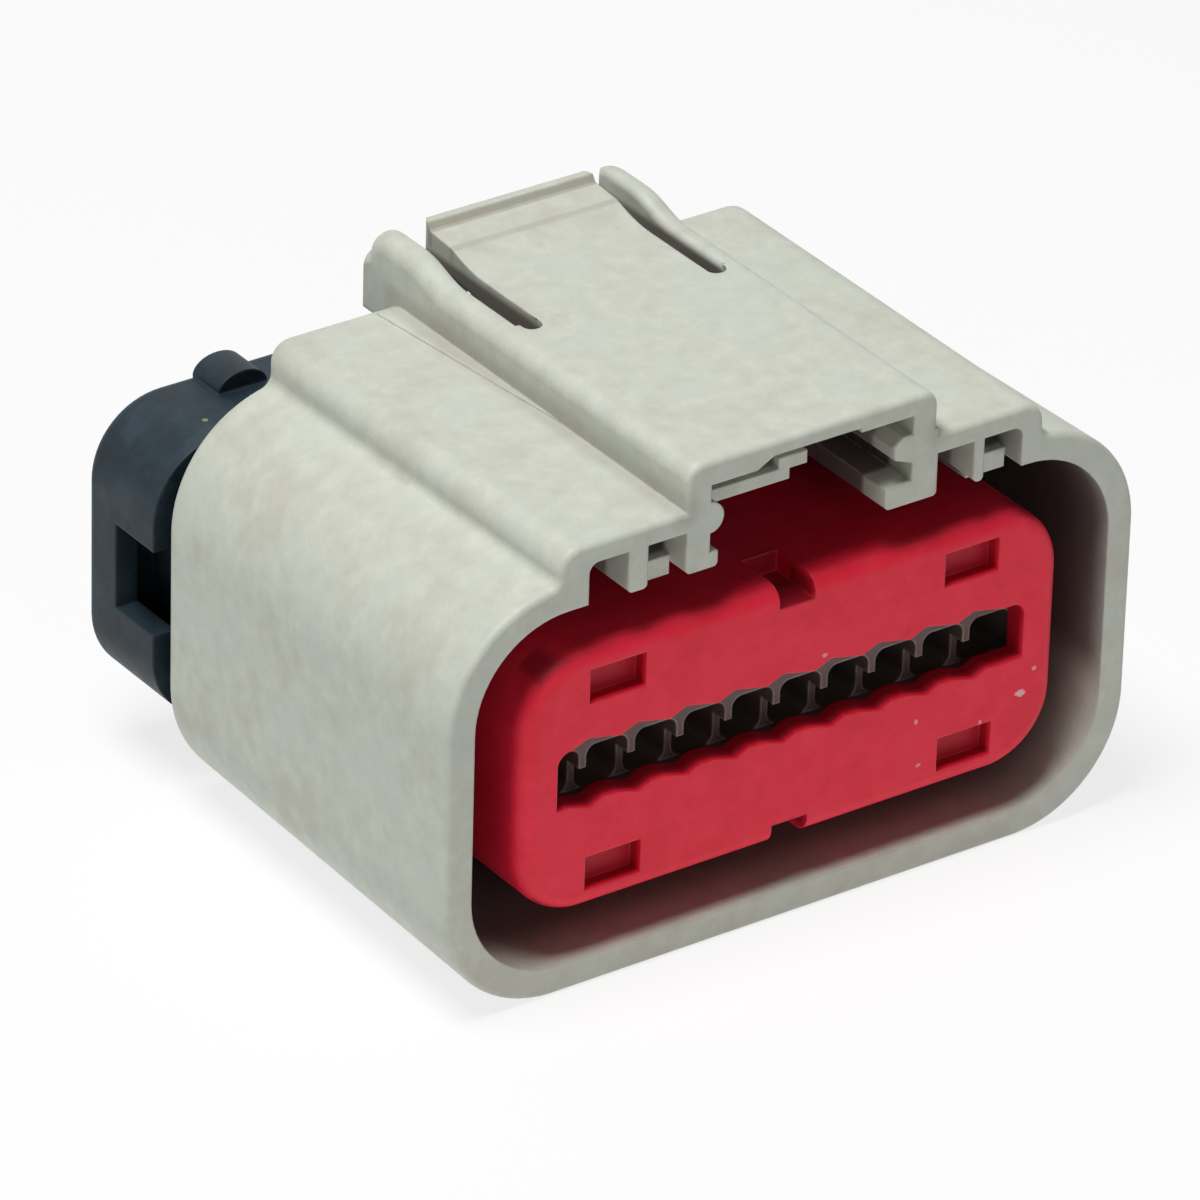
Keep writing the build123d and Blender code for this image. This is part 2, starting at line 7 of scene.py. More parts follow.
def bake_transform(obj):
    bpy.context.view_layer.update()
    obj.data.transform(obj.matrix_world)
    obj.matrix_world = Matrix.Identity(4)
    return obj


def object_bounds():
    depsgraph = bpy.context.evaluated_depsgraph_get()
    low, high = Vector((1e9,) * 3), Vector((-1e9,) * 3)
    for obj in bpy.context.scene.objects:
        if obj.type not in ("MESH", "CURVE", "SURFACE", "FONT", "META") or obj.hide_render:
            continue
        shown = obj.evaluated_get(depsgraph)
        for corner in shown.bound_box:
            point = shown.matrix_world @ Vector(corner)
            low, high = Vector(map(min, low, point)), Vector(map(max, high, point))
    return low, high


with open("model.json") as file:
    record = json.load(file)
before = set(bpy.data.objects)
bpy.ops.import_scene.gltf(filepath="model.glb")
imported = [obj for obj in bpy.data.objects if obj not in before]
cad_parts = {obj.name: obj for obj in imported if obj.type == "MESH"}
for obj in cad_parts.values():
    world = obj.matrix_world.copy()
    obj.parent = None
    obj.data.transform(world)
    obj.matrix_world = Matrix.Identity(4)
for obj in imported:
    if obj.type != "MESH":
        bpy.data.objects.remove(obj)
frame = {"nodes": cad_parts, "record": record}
cadLow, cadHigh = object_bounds()
print("frame loaded:", len(frame["nodes"]), "nodes")

scene = bpy.context.scene
scene.view_settings.view_transform = "Standard"
mm = 0.001
frontY = cadLow.y / mm  # where the front rim is, in millimetres

# camera fitted to the photo; place and axes are in metres, lens and sensor in millimetres
cameraView = {
    "place": (-0.31844, -0.44390, 0.32217),
    "right": (0.82068553, -0.57082448, 0.02519288),
    "up": (0.26397518, 0.41788824, 0.86930232),
    "back": (-0.50674685, -0.70677354, 0.49363833),
    "lens": 310.86,
    "sensor": 36.0,
    "nearest": 0.01,
    "farthest": 20.0,
}

# soft light from above, in metres and watts
studioLight = {
    "aim": (0.0, 0.0, 0.014),
    "lamps": {
        "key": {
            "place": (-0.148, -0.025, 0.528),
            "size": 0.24,
            "power": 2.78,
            "colour": (1.0, 1.0, 0.975),
        },
        "front": {
            "place": (-0.10, -0.56, 0.20),
            "size": 0.18,
            "power": 0.32,
            "colour": (1.0, 0.93, 0.92),
        },
    },
    "skyStrength": 0.04,
    "skyColour": (0.97, 0.99, 1.0),
}

floorLook = {
    "half": 3.0,
    "drop": 0.00004,
    "colour": (0.93, 0.95, 0.955),
    "lift": 0.80,  # how much of the white backdrop the floor takes where it is seen
}


def aimedMatrix(place, aim):
    back = (Vector(place) - Vector(aim)).normalized()
    return Matrix.Translation(place) @ back.to_track_quat("Z", "Y").to_matrix().to_4x4()


def addCamera(view):
    data = bpy.data.cameras.new("photoCamera")
    data.lens = view["lens"]
    data.sensor_width = view["sensor"]
    data.clip_start = view["nearest"]
    data.clip_end = view["farthest"]
    camera = bpy.data.objects.new("photoCamera", data)
    axes = Matrix((view["right"], view["up"], view["back"])).transposed().to_4x4()
    camera.matrix_world = Matrix.Translation(view["place"]) @ axes
    scene.collection.objects.link(camera)
    scene.camera = camera


def addLight(name, look, aim):
    data = bpy.data.lights.new(name, "AREA")
    data.shape = "DISK"
    data.size = look["size"]
    data.energy = look["power"]
    data.color = look["colour"]
    light = bpy.data.objects.new(name, data)
    light.matrix_world = aimedMatrix(look["place"], aim)
    scene.collection.objects.link(light)


def seenDirectly(tree):
    path = tree.nodes.new("ShaderNodeLightPath")
    mirror = tree.nodes.new("ShaderNodeMath")  # camera, mirror and glass rays see it as white
    mirror.operation = "MAXIMUM"
    tree.links.new(path.outputs["Is Camera Ray"], mirror.inputs[0])
    tree.links.new(path.outputs["Is Glossy Ray"], mirror.inputs[1])
    seen = tree.nodes.new("ShaderNodeMath")
    seen.operation = "MAXIMUM"
    tree.links.new(mirror.outputs[0], seen.inputs[0])
    tree.links.new(path.outputs["Is Transmission Ray"], seen.inputs[1])
    return seen.outputs[0]


def addWorld(look):
    world = bpy.data.worlds.new("studioWorld")
    world.use_nodes = True
    scene.world = world
    tree = world.node_tree
    tree.nodes.clear()
    sky = tree.nodes.new("ShaderNodeBackground")
    sky.inputs["Color"].default_value = (*look["skyColour"], 1)
    sky.inputs["Strength"].default_value = look["skyStrength"]
    white = tree.nodes.new("ShaderNodeBackground")
    white.inputs["Color"].default_value = (1, 1, 1, 1)
    mix = tree.nodes.new("ShaderNodeMixShader")
    tree.links.new(seenDirectly(tree), mix.inputs["Fac"])
    tree.links.new(sky.outputs[0], mix.inputs[1])
    tree.links.new(white.outputs[0], mix.inputs[2])
    output = tree.nodes.new("ShaderNodeOutputWorld")
    tree.links.new(mix.outputs[0], output.inputs["Surface"])


def floorMaterial(look):
    material = bpy.data.materials.new("paperFloor")
    material.use_nodes = True
    tree = material.node_tree
    tree.nodes.clear()
    paper = tree.nodes.new("ShaderNodeBsdfDiffuse")
    paper.inputs["Color"].default_value = (*look["colour"], 1)
    glow = tree.nodes.new("ShaderNodeEmission")
    lift = tree.nodes.new("ShaderNodeMath")
    lift.operation = "MULTIPLY"
    lift.inputs[1].default_value = look["lift"]
    tree.links.new(seenDirectly(tree), lift.inputs[0])
    mix = tree.nodes.new("ShaderNodeMixShader")
    tree.links.new(lift.outputs[0], mix.inputs["Fac"])
    tree.links.new(paper.outputs[0], mix.inputs[1])
    tree.links.new(glow.outputs[0], mix.inputs[2])
    output = tree.nodes.new("ShaderNodeOutputMaterial")
    tree.links.new(mix.outputs[0], output.inputs["Surface"])
    return material


def addFloor(look):
    sheet = bmesh.new()
    bmesh.ops.create_grid(sheet, x_segments=1, y_segments=1, size=look["half"])
    bmesh.ops.translate(sheet, verts=sheet.verts, vec=(0, 0, -look["drop"]))
    data = bpy.data.meshes.new("studioFloor")
    sheet.to_mesh(data)
    sheet.free()
    data.materials.append(floorMaterial(look))
    floor = bpy.data.objects.new("studioFloor", data)
    scene.collection.objects.link(floor)


addCamera(cameraView)
addWorld(studioLight)
for lampName, lamp in studioLight["lamps"].items():
    addLight(lampName + "Light", lamp, studioLight["aim"])
addFloor(floorLook)
print("studio ready")


def newGroup(name, inputs, outputs):
    group = bpy.data.node_groups.new(name, "ShaderNodeTree")
    for kind, label, value in inputs:
        socket = group.interface.new_socket(
            name=label, in_out="INPUT", socket_type="NodeSocket" + kind,
        )
        if value is not None:
            socket.default_value = value
    for kind, label in outputs:
        group.interface.new_socket(name=label, in_out="OUTPUT", socket_type="NodeSocket" + kind)
    return group, group.nodes.new("NodeGroupInput"), group.nodes.new("NodeGroupOutput")


def calc(tree, operation, *values):
    node = tree.nodes.new("ShaderNodeMath")
    node.operation = operation
    for place, value in enumerate(values):
        if isinstance(value, (int, float)):
            node.inputs[place].default_value = value
        else:
            tree.links.new(value, node.inputs[place])
    return node.outputs[0]


def vectorCalc(tree, operation, first, second=None, result=0):
    node = tree.nodes.new("ShaderNodeVectorMath")
    node.operation = operation
    for place, value in enumerate((first, second)):
        if isinstance(value, tuple):
            node.inputs[place].default_value = value
        elif value is not None:
            tree.links.new(value, node.inputs[place])
    return node.outputs[result]


def ramp(tree, value, low, high, fromValue=0.0, toValue=1.0):
    node = tree.nodes.new("ShaderNodeMapRange")
    node.interpolation_type = "SMOOTHSTEP"
    node.inputs["From Min"].default_value = low
    node.inputs["From Max"].default_value = high
    node.inputs["To Min"].default_value = fromValue
    node.inputs["To Max"].default_value = toValue
    tree.links.new(value, node.inputs["Value"])
    return node.outputs["Result"]


def noise(tree, coordinates, scale, detail=2.0, roughness=0.5):
    node = tree.nodes.new("ShaderNodeTexNoise")
    node.inputs["Detail"].default_value = detail
    node.inputs["Roughness"].default_value = roughness
    if isinstance(scale, (int, float)):
        node.inputs["Scale"].default_value = scale
    else:
        tree.links.new(scale, node.inputs["Scale"])
    tree.links.new(coordinates, node.inputs["Vector"])
    return node.outputs["Fac"]


def namedSocket(sockets, identifier):
    return next(socket for socket in sockets if socket.identifier == identifier)


def blendColour(tree, amount, first, second):
    node = tree.nodes.new("ShaderNodeMix")
    node.data_type = "RGBA"
    for label, value in (("Factor_Float", amount), ("A_Color", first), ("B_Color", second)):
        socket = namedSocket(node.inputs, label)
        if isinstance(value, tuple):
            socket.default_value = (*value, 1)
        else:
            tree.links.new(value, socket)
    return namedSocket(node.outputs, "Result_Color")


def blendNormal(tree, amount, first, second):
    node = tree.nodes.new("ShaderNodeMix")
    node.data_type = "VECTOR"
    for label, value in (("Factor_Float", amount), ("A_Vector", first), ("B_Vector", second)):
        tree.links.new(value, namedSocket(node.inputs, label))
    return vectorCalc(tree, "NORMALIZE", namedSocket(node.outputs, "Result_Vector"))


# what the shared effects are made of; what differs between pieces is in their own dictionaries
noiseMiddle = 0.5
grainShape = {"detail": 3.0, "roughness": 0.55, "waveDetail": 1.0}
mottleShape = {
    "patchDetail": 3.0,
    "speckDetail": 2.0,
    "roughness": 0.6,
    "paleRange": (0.48, 0.68),  # the noise values where the effect starts and where it is full
    "darkRange": (0.50, 0.30),
    "speckRange": (0.56, 0.74),
}
# shape of the painted highlight along edges: a lighter colour where light catches them
edgeShape = {
    "samples": 6,
    "turnRange": (0.995, 0.86),  # cosine between the rounded and the true normal
    "patchDetail": 3.0,
    "patchRoughness": 0.6,
    "patchRange": (0.30, 0.62),
    "leastHighlight": 0.25,
}
fleckShape = {
    "noiseScale": 4200.0,
    "noiseDepth": 4.0,
    "raggedness": 0.30,
    "rimRange": (1.05, 0.80),  # shares of the radius
    "roughness": 0.15,
}
inwardRange = (-0.05, -0.30)  # cosine between a wall's normal and the way out from the axis


def makeGrain():
    group, given, result = newGroup(
        "mouldedGrain",
        [
            ("Vector", "Coordinates", None),
            ("Float", "Grain Scale", 5000.0),
            ("Float", "Grain Depth", 1.0),
            ("Float", "Wave Scale", 250.0),
            ("Float", "Wave Depth", 1.0),
        ],
        [("Float", "Height")],
    )
    place = given.outputs["Coordinates"]
    grainScale, waveScale = given.outputs["Grain Scale"], given.outputs["Wave Scale"]
    fine = noise(group, place, grainScale, grainShape["detail"], grainShape["roughness"])
    wave = noise(group, place, waveScale, grainShape["waveDetail"])
    fineHeight = calc(group, "MULTIPLY", fine, given.outputs["Grain Depth"])
    waveHeight = calc(group, "MULTIPLY", wave, given.outputs["Wave Depth"])
    group.links.new(calc(group, "ADD", fineHeight, waveHeight), result.inputs["Height"])
    return group


def makeMottle():
    group, given, result = newGroup(
        "colourMottle",
        [
            ("Vector", "Coordinates", None),
            ("Color", "Colour", (0.5, 0.5, 0.5, 1)),
            ("Color", "Pale Colour", (0.6, 0.6, 0.6, 1)),
            ("Color", "Dark Colour", (0.4, 0.4, 0.4, 1)),
            ("Float", "Patch Scale", 300.0),
            ("Float", "Patch Amount", 0.5),
            ("Float", "Speck Scale", 2500.0),
            ("Float", "Speck Amount", 0.2),
        ],
        [("Color", "Colour")],
    )
    place = given.outputs["Coordinates"]
    patchScale, speckScale = given.outputs["Patch Scale"], given.outputs["Speck Scale"]
    patches = noise(group, place, patchScale, mottleShape["patchDetail"], mottleShape["roughness"])
    specks = noise(group, place, speckScale, mottleShape["speckDetail"], mottleShape["roughness"])
    pale = ramp(group, patches, *mottleShape["paleRange"])
    dark = ramp(group, patches, *mottleShape["darkRange"])
    grit = ramp(group, specks, *mottleShape["speckRange"])
    pale = calc(group, "MULTIPLY", pale, given.outputs["Patch Amount"])
    dark = calc(group, "MULTIPLY", dark, given.outputs["Patch Amount"])
    grit = calc(group, "MULTIPLY", grit, given.outputs["Speck Amount"])
    colour = blendColour(group, pale, given.outputs["Colour"], given.outputs["Pale Colour"])
    colour = blendColour(group, dark, colour, given.outputs["Dark Colour"])
    colour = blendColour(group, grit, colour, given.outputs["Dark Colour"])
    group.links.new(colour, result.inputs["Colour"])
    return group


# painted highlight: a lighter colour along the edges, where light catches them, broken into
# patches; the rounded normal it also puts out only rounds the shading of the edges
def makePaintedEdgeHighlight():
    group, given, result = newGroup(
        "paintedEdgeHighlight",
        [
            ("Vector", "Coordinates", None),
            ("Float", "Radius", 0.0002),
            ("Float", "Patch Scale", 900.0),
            ("Float", "Amount", 0.5),
        ],
        [("Float", "Mask"), ("Vector", "Rounded Normal")],
    )
    rounding = group.nodes.new("ShaderNodeBevel")
    rounding.samples = edgeShape["samples"]
    group.links.new(given.outputs["Radius"], rounding.inputs["Radius"])
    rounded = rounding.outputs["Normal"]
    surface = group.nodes.new("ShaderNodeNewGeometry")
    facing = vectorCalc(group, "DOT_PRODUCT", rounded, surface.outputs["Normal"], 1)
    turned = ramp(group, facing, *edgeShape["turnRange"])
    patches = noise(
        group, given.outputs["Coordinates"], given.outputs["Patch Scale"],
        edgeShape["patchDetail"], edgeShape["patchRoughness"],
    )
    patches = ramp(group, patches, *edgeShape["patchRange"], edgeShape["leastHighlight"])
    broken = calc(group, "MULTIPLY", turned, patches)
    mask = calc(group, "MULTIPLY", broken, given.outputs["Amount"])
    group.links.new(mask, result.inputs["Mask"])
    group.links.new(rounded, result.inputs["Rounded Normal"])
    return group


def makeFleck():
    group, given, result = newGroup(
        "fleck",
        [
            ("Vector", "Coordinates", None),
            ("Vector", "Place", (0, 0, 0)),
            ("Vector", "Stretch", (1, 1, 1)),
            ("Float", "Radius", 0.0003),
            ("Float", "Raggedness", 0.4),
            ("Float", "Strength", 1.0),
        ],
        [("Float", "Mask")],
    )
    offset = vectorCalc(group, "SUBTRACT", given.outputs["Coordinates"], given.outputs["Place"])
    offset = vectorCalc(group, "MULTIPLY", offset, given.outputs["Stretch"])
    reach = vectorCalc(group, "LENGTH", offset, None, 1)
    share = calc(group, "DIVIDE", reach, given.outputs["Radius"])
    ragged = noise(group, given.outputs["Coordinates"], fleckShape["noiseScale"])
    ragged = calc(group, "SUBTRACT", ragged, noiseMiddle)
    depth = calc(group, "MULTIPLY", given.outputs["Raggedness"], fleckShape["noiseDepth"])
    share = calc(group, "ADD", share, calc(group, "MULTIPLY", ragged, depth))
    inside = ramp(group, share, *fleckShape["rimRange"])
    mask = calc(group, "MULTIPLY", inside, given.outputs["Strength"])
    group.links.new(mask, result.inputs["Mask"])
    return group


grainGroup = makeGrain()
mottleGroup = makeMottle()
edgeHighlightGroup = makePaintedEdgeHighlight()
fleckGroup = makeFleck()
print("shared effects ready")


def useGroup(tree, group, **values):
    node = tree.nodes.new("ShaderNodeGroup")
    node.node_tree = group
    for label, value in values.items():
        socket = node.inputs[label.replace("_", " ")]
        if isinstance(value, bpy.types.NodeSocket):
            tree.links.new(value, socket)
        elif isinstance(value, tuple) and socket.type == "RGBA":
            socket.default_value = (*value, 1)
        else:
            socket.default_value = value
    return node


def inMetres(lengths):
    return tuple(length * mm for length in lengths)


# 1 inside a box, 0 outside it, with a soft edge; all of it in millimetres
def zoneMask(tree, coordinates, middle, half, soft):
    offset = vectorCalc(tree, "SUBTRACT", coordinates, inMetres(middle))
    offset = vectorCalc(tree, "ABSOLUTE", offset)
    parts = tree.nodes.new("ShaderNodeSeparateXYZ")
    tree.links.new(offset, parts.inputs[0])
    mask = None
    for axis in range(3):
        inside = ramp(tree, parts.outputs[axis], (half[axis] + soft) * mm, half[axis] * mm)
        mask = inside if mask is None else calc(tree, "MULTIPLY", mask, inside)
    return mask


# 1 on walls that face the shroud's axis
def facesInward(tree, coordinates, axisPlace):
    spread = vectorCalc(tree, "SUBTRACT", coordinates, inMetres(axisPlace))
    spread = vectorCalc(tree, "MULTIPLY", spread, (1, 0, 1))
    outward = vectorCalc(tree, "NORMALIZE", spread)
    normal = tree.nodes.new("ShaderNodeTexCoord").outputs["Normal"]
    return ramp(tree, vectorCalc(tree, "DOT_PRODUCT", outward, normal, 1), *inwardRange)


# paints shade into the colour: each zone darkens the colour towards its own dark colour where
# shade falls
def paintedShadeColour(tree, coordinates, colour, look):
    for shade in look.get("paintedShades", []):
        for middle in shade["middles"]:
            mask = zoneMask(tree, coordinates, middle, shade["half"], shade["soft"])
            mask = calc(tree, "MULTIPLY", mask, shade["amount"])
            if shade.get("inwardOnly"):
                inward = facesInward(tree, coordinates, look["axisPlace"])
                mask = calc(tree, "MULTIPLY", mask, inward)
            colour = blendColour(tree, mask, colour, shade["colour"])
    return colour


def flecksIn(tree, coordinates, flecks):
    total = None
    for fleck in flecks:
        spot = useGroup(
            tree, fleckGroup, Coordinates=coordinates, Place=inMetres(fleck["place"]),
            Stretch=fleck["stretch"], Radius=fleck["radius"] * mm,
            Raggedness=fleckShape["raggedness"], Strength=fleck["strength"],
        ).outputs["Mask"]
        total = spot if total is None else calc(tree, "MAXIMUM", total, spot)
    return total


def mottledColour(tree, coordinates, look):
    colour = useGroup(
        tree, mottleGroup, Coordinates=coordinates, Colour=look["colour"],
        Pale_Colour=look["pale"], Dark_Colour=look["dark"],
        Patch_Scale=look["patchScale"], Patch_Amount=look["patchAmount"],
        Speck_Scale=look["speckScale"], Speck_Amount=look["speckAmount"],
    ).outputs["Colour"]
    return useGroup(
        tree, mottleGroup, Coordinates=coordinates, Colour=colour,
        Pale_Colour=look["tint"], Dark_Colour=look["stain"],
        Patch_Scale=look["stainScale"], Patch_Amount=look["stainAmount"], Speck_Amount=0.0,
    ).outputs["Colour"]


def addBump(tree, shader, coordinates, look, rounded):
    height = useGroup(
        tree, grainGroup, Coordinates=coordinates,
        Grain_Scale=look["grainScale"], Grain_Depth=look["grainDepth"],
        Wave_Scale=look["waveScale"], Wave_Depth=look["waveDepth"],
    ).outputs["Height"]
    bump = tree.nodes.new("ShaderNodeBump")
    bump.inputs["Distance"].default_value = look["bumpDistance"]
    bump.inputs["Strength"].default_value = look["bumpStrength"]
    tree.links.new(height, bump.inputs["Height"])
    tree.links.new(rounded, bump.inputs["Normal"])
    tree.links.new(bump.outputs["Normal"], shader.inputs["Normal"])


def pieceMaterial(name, look, flatZone=None):
    material = bpy.data.materials.new(name)
    material.use_nodes = True
    tree = material.node_tree
    shader = tree.nodes["Principled BSDF"]
    shader.inputs["Specular IOR Level"].default_value = look["specular"]
    shader.inputs["Metallic"].default_value = look.get("metallic", 0.0)
    coordinates = tree.nodes.new("ShaderNodeTexCoord").outputs["Object"]
    edge = useGroup(
        tree, edgeHighlightGroup, Coordinates=coordinates, Radius=look["edgeRadius"],
        Patch_Scale=look["edgePatch"], Amount=look["edgeAmount"],
    )
    edgeHighlight, rounded = edge.outputs["Mask"], edge.outputs["Rounded Normal"]
    if flatZone:  # a joint in the mesh where the real part has no edge
        plain = zoneMask(tree, coordinates, flatZone["middle"], flatZone["half"], flatZone["soft"])
        edgeHighlight = calc(tree, "MULTIPLY", edgeHighlight, calc(tree, "SUBTRACT", 1.0, plain))
        surface = tree.nodes.new("ShaderNodeNewGeometry").outputs["Normal"]
        rounded = blendNormal(tree, plain, rounded, surface)
    colour = mottledColour(tree, coordinates, look)
    # painted shade in recesses, slots and creases
    colour = paintedShadeColour(tree, coordinates, colour, look)
    # paints a highlight along the edges in a lighter colour
    colour = blendColour(tree, edgeHighlight, colour, look["edgeHighlightColour"])
    rough = calc(tree, "ADD", noise(tree, coordinates, look["sheenScale"]), -noiseMiddle)
    rough = calc(tree, "MULTIPLY_ADD", rough, look["sheenSwing"], look["roughness"])
    rough = calc(tree, "MULTIPLY_ADD", edgeHighlight, -look["edgeGloss"], rough)
    if look.get("flecks"):
        spots = flecksIn(tree, coordinates, look["flecks"])
        colour = blendColour(tree, spots, colour, look["fleckColour"])
        rough = calc(tree, "MULTIPLY_ADD", spots, fleckShape["roughness"], rough)
    addBump(tree, shader, coordinates, look, rounded)
    tree.links.new(colour, shader.inputs["Base Color"])
    tree.links.new(rough, shader.inputs["Roughness"])
    return material


# Colours are linear and noise scales are per metre; each look's edge colour is a painted highlight
# and its shade zones are painted shade.
# Radii and the bump's distance are in metres, while painted shades, flecks and the latch root are
# in millimetres.
housingLook = {
    "colour": (0.572, 0.592, 0.522),
    "pale": (0.650, 0.668, 0.590),
    "dark": (0.500, 0.515, 0.450),
    "edgeHighlightColour": (0.680, 0.685, 0.620),
    "patchScale": 700.0,
    "patchAmount": 0.52,
    "speckScale": 3200.0,
    "speckAmount": 0.40,
    "tint": (0.550, 0.620, 0.555),
    "stain": (0.480, 0.465, 0.395),
    "stainScale": 170.0,
    "stainAmount": 0.42,
    "edgeRadius": 0.00022,
    "edgePatch": 700.0,
    "edgeAmount": 0.55,
    "edgeGloss": 0.05,
    "roughness": 0.52,
    "sheenScale": 800.0,
    "sheenSwing": 0.16,
    "specular": 0.42,
    "grainScale": 4200.0,
    "grainDepth": 0.8,
    "waveScale": 260.0,
    "waveDepth": 1.4,
    "bumpDistance": 0.00006,
    "bumpStrength": 0.35,
    "axisPlace": (0, 0, 13.9),
    "paintedShades": [
        {  # painted shade on the core inside the lock, tinted red like light bounced off the lock
            "middles": [(0, frontY + 11.0, 13.3)],
            "half": (17.9, 9.3, 7.1),
            "soft": 0.1,
            "amount": 0.90,
            "colour": (0.085, 0.036, 0.036),
        },
        {  # painted shade on the inner walls of the shroud, deeper further in
            "middles": [(0, frontY + 13.0, 13.9)],
            "half": (24.0, 7.8, 15.0),
            "soft": 4.5,
            "amount": 0.84,
            "colour": (0.090, 0.078, 0.074),
            "inwardOnly": True,
        },
        {  # painted shadow of the roof on the right inner wall, up to near the rim
            "middles": [(21.5, frontY + 8.0, 20.5)],
            "half": (4.0, 6.2, 9.5),
            "soft": 3.2,
            "amount": 0.84,
            "colour": (0.080, 0.056, 0.056),
            "inwardOnly": True,
        },
        {  # painted shade in the slots beside the latch
            "middles": [(-6.0, frontY + 26.0, 30.3), (7.4, frontY + 26.0, 30.3)],
            "half": (0.7, 7.2, 1.9),
            "soft": 0.6,
            "amount": 0.85,
            "colour": (0.12, 0.09, 0.08),
        },
        {  # painted shade in the upper part of the keyway
            "middles": [(0.7, frontY + 11.2, 28.2)],
            "half": (8.4, 8.6, 3.4),
            "soft": 0.6,
            "amount": 0.76,
            "colour": (0.12, 0.08, 0.08),
        },
        {  # painted shade in the lower, wider part of the keyway
            "middles": [(0.7, frontY + 11.2, 26.4)],
            "half": (15.8, 8.6, 2.0),
            "soft": 0.6,
            "amount": 0.76,
            "colour": (0.12, 0.08, 0.08),
        },
        {  # painted shade in the grooves at the foot of the platform
            "middles": [(-8.4, frontY + 15.5, 30.1), (9.8, frontY + 15.5, 30.1)],
            "half": (0.2, 15.5, 0.3),
            "soft": 1.2,
            "amount": 0.42,
            "colour": (0.30, 0.28, 0.25),
        },
        {  # painted shade line at the rear step across the latch pad
            "middles": [(0.7, frontY + 31.30, 34.0)],
            "half": (6.2, 0.16, 1.2),
            "soft": 0.2,
            "amount": 0.65,
            "colour": (0.31, 0.29, 0.24),
        },
        {  # painted shade line at the front step across the latch pad
            "middles": [(0.7, frontY + 28.90, 33.6)],
            "half": (6.2, 0.08, 0.8),
            "soft": 0.3,
            "amount": 0.45,
            "colour": (0.37, 0.36, 0.31),
        },
    ],
}

lockLook = {
    "colour": (0.850, 0.014, 0.046),
    "pale": (0.900, 0.030, 0.066),
    "dark": (0.730, 0.008, 0.032),
    "edgeHighlightColour": (0.900, 0.080, 0.110),
    "patchScale": 560.0,
    "patchAmount": 0.45,
    "speckScale": 2800.0,
    "speckAmount": 0.35,
    "tint": (0.880, 0.022, 0.070),
    "stain": (0.720, 0.008, 0.030),
    "stainScale": 190.0,
    "stainAmount": 0.45,
    "edgeRadius": 0.00018,
    "edgePatch": 900.0,
    "edgeAmount": 0.45,
    "edgeGloss": 0.04,
    "roughness": 0.50,
    "sheenScale": 900.0,
    "sheenSwing": 0.14,
    "specular": 0.34,
    "grainScale": 3800.0,
    "grainDepth": 1.0,
    "waveScale": 320.0,
    "waveDepth": 1.2,
    "bumpDistance": 0.00006,
    "bumpStrength": 0.40,
    "paintedShades": [
        {  # painted shade inside the slot and the pockets
            "middles": [(0, frontY + 1.60, 13.9)],
            "half": (18.0, 0.9, 8.2),
            "soft": 0.4,
            "amount": 0.80,
            "colour": (0.370, 0.005, 0.020),
        },
        {  # painted shade in the key notches, top and bottom
            "middles": [(0, frontY + 2.20, 22.1), (0, frontY + 2.20, 5.7)],
            "half": (1.15, 2.0, 0.8),
            "soft": 0.2,
            "amount": 0.85,
            "colour": (0.240, 0.004, 0.014),
        },
    ],
    "fleckColour": (0.86, 0.56, 0.56),
    "flecks": [
        {
            "place": (16.97, frontY + 0.10, 9.98),
            "stretch": (1.0, 1.0, 1.6),
            "radius": 0.42,
            "strength": 0.85,
        },
        {
            "place": (18.55, frontY + 0.55, 11.60),
            "stretch": (1.6, 1.0, 0.9),
            "radius": 0.28,
            "strength": 0.75,
        },
        {
            "place": (17.94, frontY + 0.15, 11.42),
            "stretch": (1.0, 1.0, 1.4),
            "radius": 0.20,
            "strength": 0.60,
        },
        {
            "place": (2.15, frontY + 0.10, 17.18),
            "stretch": (1.0, 1.0, 1.4),
            "radius": 0.20,
            "strength": 0.55,
        },
        {
            "place": (9.17, frontY + 0.10, 10.39),
            "stretch": (1.4, 1.0, 1.0),
            "radius": 0.20,
            "strength": 0.50,
        },
        {
            "place": (14.02, frontY + 0.10, 8.88),
            "stretch": (1.3, 1.0, 1.0),
            "radius": 0.16,
            "strength": 0.50,
        },
        {
            "place": (9.47, frontY + 0.10, 7.31),
            "stretch": (1.0, 1.0, 1.3),
            "radius": 0.18,
            "strength": 0.45,
        },
    ],
}

coverLook = {
    "colour": (0.013, 0.025, 0.036),
    "pale": (0.021, 0.036, 0.049),
    "dark": (0.008, 0.015, 0.024),
    "edgeHighlightColour": (0.040, 0.060, 0.074),
    "patchScale": 380.0,
    "patchAmount": 0.5,
    "speckScale": 2200.0,
    "speckAmount": 0.2,
    "tint": (0.030, 0.048, 0.064),
    "stain": (0.007, 0.012, 0.018),
    "stainScale": 260.0,
    "stainAmount": 0.70,
    "edgeRadius": 0.00025,
    "edgePatch": 900.0,
    "edgeAmount": 0.35,
    "edgeGloss": 0.06,
    "roughness": 0.50,
    "sheenScale": 700.0,
    "sheenSwing": 0.14,
    "specular": 0.22,
    "grainScale": 4600.0,
    "grainDepth": 0.9,
    "waveScale": 240.0,
    "waveDepth": 1.2,
    "bumpDistance": 0.00006,
    "bumpStrength": 0.40,
    "fleckColour": (0.42, 0.40, 0.26),
    "flecks": [
        {
            "place": (-19.43, frontY + 34.26, 23.50),
            "stretch": (1.0, 1.0, 1.0),
            "radius": 0.20,
            "strength": 0.55,
        },
    ],
}

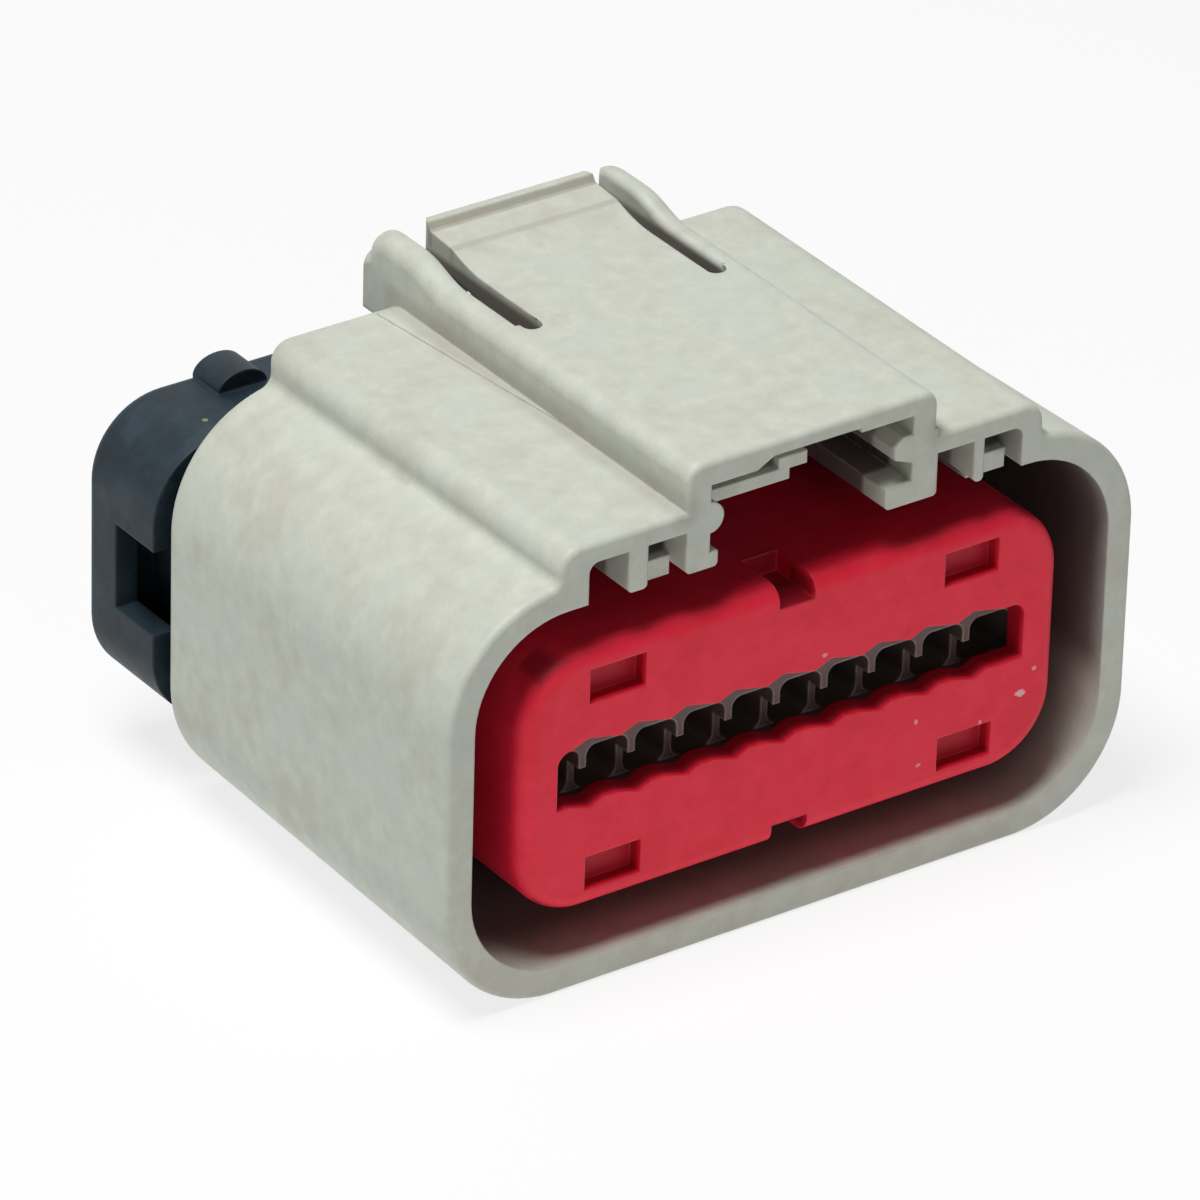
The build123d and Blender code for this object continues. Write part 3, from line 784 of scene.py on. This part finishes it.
sealLook = {
    "colour": (0.030, 0.030, 0.036),
    "pale": (0.042, 0.042, 0.048),
    "dark": (0.018, 0.018, 0.022),
    "edgeHighlightColour": (0.052, 0.052, 0.058),
    "patchScale": 500.0,
    "patchAmount": 0.5,
    "speckScale": 3000.0,
    "speckAmount": 0.3,
    "tint": (0.036, 0.036, 0.042),
    "stain": (0.020, 0.020, 0.022),
    "stainScale": 200.0,
    "stainAmount": 0.40,
    "edgeRadius": 0.00015,
    "edgePatch": 1000.0,
    "edgeAmount": 0.25,
    "edgeGloss": 0.02,
    "roughness": 0.66,
    "sheenScale": 900.0,
    "sheenSwing": 0.16,
    "specular": 0.35,
    "grainScale": 6000.0,
    "grainDepth": 0.7,
    "waveScale": 400.0,
    "waveDepth": 0.8,
    "bumpDistance": 0.00004,
    "bumpStrength": 0.35,
}

contactLook = {
    "colour": (0.600, 0.585, 0.545),
    "pale": (0.680, 0.670, 0.640),
    "dark": (0.430, 0.400, 0.350),
    "edgeHighlightColour": (0.740, 0.730, 0.700),
    "patchScale": 900.0,
    "patchAmount": 0.5,
    "speckScale": 5000.0,
    "speckAmount": 0.25,
    "tint": (0.660, 0.640, 0.580),
    "stain": (0.460, 0.420, 0.360),
    "stainScale": 600.0,
    "stainAmount": 0.50,
    "edgeRadius": 0.00005,
    "edgePatch": 2000.0,
    "edgeAmount": 0.35,
    "edgeGloss": 0.06,
    "roughness": 0.34,
    "sheenScale": 1800.0,
    "sheenSwing": 0.16,
    "specular": 0.50,
    "metallic": 1.0,
    "grainScale": 9000.0,
    "grainDepth": 0.5,
    "waveScale": 900.0,
    "waveDepth": 0.8,
    "bumpDistance": 0.00002,
    "bumpStrength": 0.30,
}

latchRoot = {
    "x": 0.7,
    "halfWidth": 6.05,
    "front": frontY + 19.8127,
    "back": frontY + 20.1,
    "top": 32.9,
    "depth": 0.28,
    "flatHalf": (0.30, 0.05),  # half length and height of the zone that shows no edge
    "flatSoft": 0.25,
}
latchRoot["middle"] = (latchRoot["front"] + latchRoot["back"]) / 2
rootZone = {
    "middle": (latchRoot["x"], latchRoot["middle"], latchRoot["top"]),
    "half": (latchRoot["halfWidth"], *latchRoot["flatHalf"]),
    "soft": latchRoot["flatSoft"],
}

materials = {
    "housing_plastic": pieceMaterial("greyNylon", housingLook, rootZone),
    "lock_plastic": pieceMaterial("redNylon", lockLook),
    "seal_rubber": pieceMaterial("darkSilicone", sealLook),
    "cover_plastic": pieceMaterial("slateNylon", coverLook),
    "contact_metal": pieceMaterial("tinnedSheet", contactLook),
}
for part in frame["record"]["subparts"]:
    node = frame["nodes"][part["node"]]
    material = materials[part["material_slot"]]
    if not node.material_slots:
        node.data.materials.append(material)
    for slot in node.material_slots:
        slot.material = material
print("materials ready:", len(materials))


# fills the seam between the arm and the platform, which are one piece in the photo
def addLatchRoot(look):
    wedge = bmesh.new()
    left = look["x"] - look["halfWidth"]
    corners = [
        wedge.verts.new(inMetres((left, look["front"], look["top"]))),
        wedge.verts.new(inMetres((left, look["middle"], look["top"] - look["depth"] / 2))),
        wedge.verts.new(inMetres((left, look["back"], look["top"]))),
    ]
    face = wedge.faces.new(corners)
    grown = bmesh.ops.extrude_face_region(wedge, geom=[face])["geom"]
    moved = [v for v in grown if isinstance(v, bmesh.types.BMVert)]
    bmesh.ops.translate(wedge, verts=moved, vec=(2 * look["halfWidth"] * mm, 0, 0))
    bmesh.ops.recalc_face_normals(wedge, faces=wedge.faces)
    data = bpy.data.meshes.new("latchRoot")
    wedge.to_mesh(data)
    wedge.free()
    data.materials.append(materials["housing_plastic"])
    piece = bpy.data.objects.new("latchRoot", data)
    scene.collection.objects.link(piece)
    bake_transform(piece)


addLatchRoot(latchRoot)
print("latch root ready")
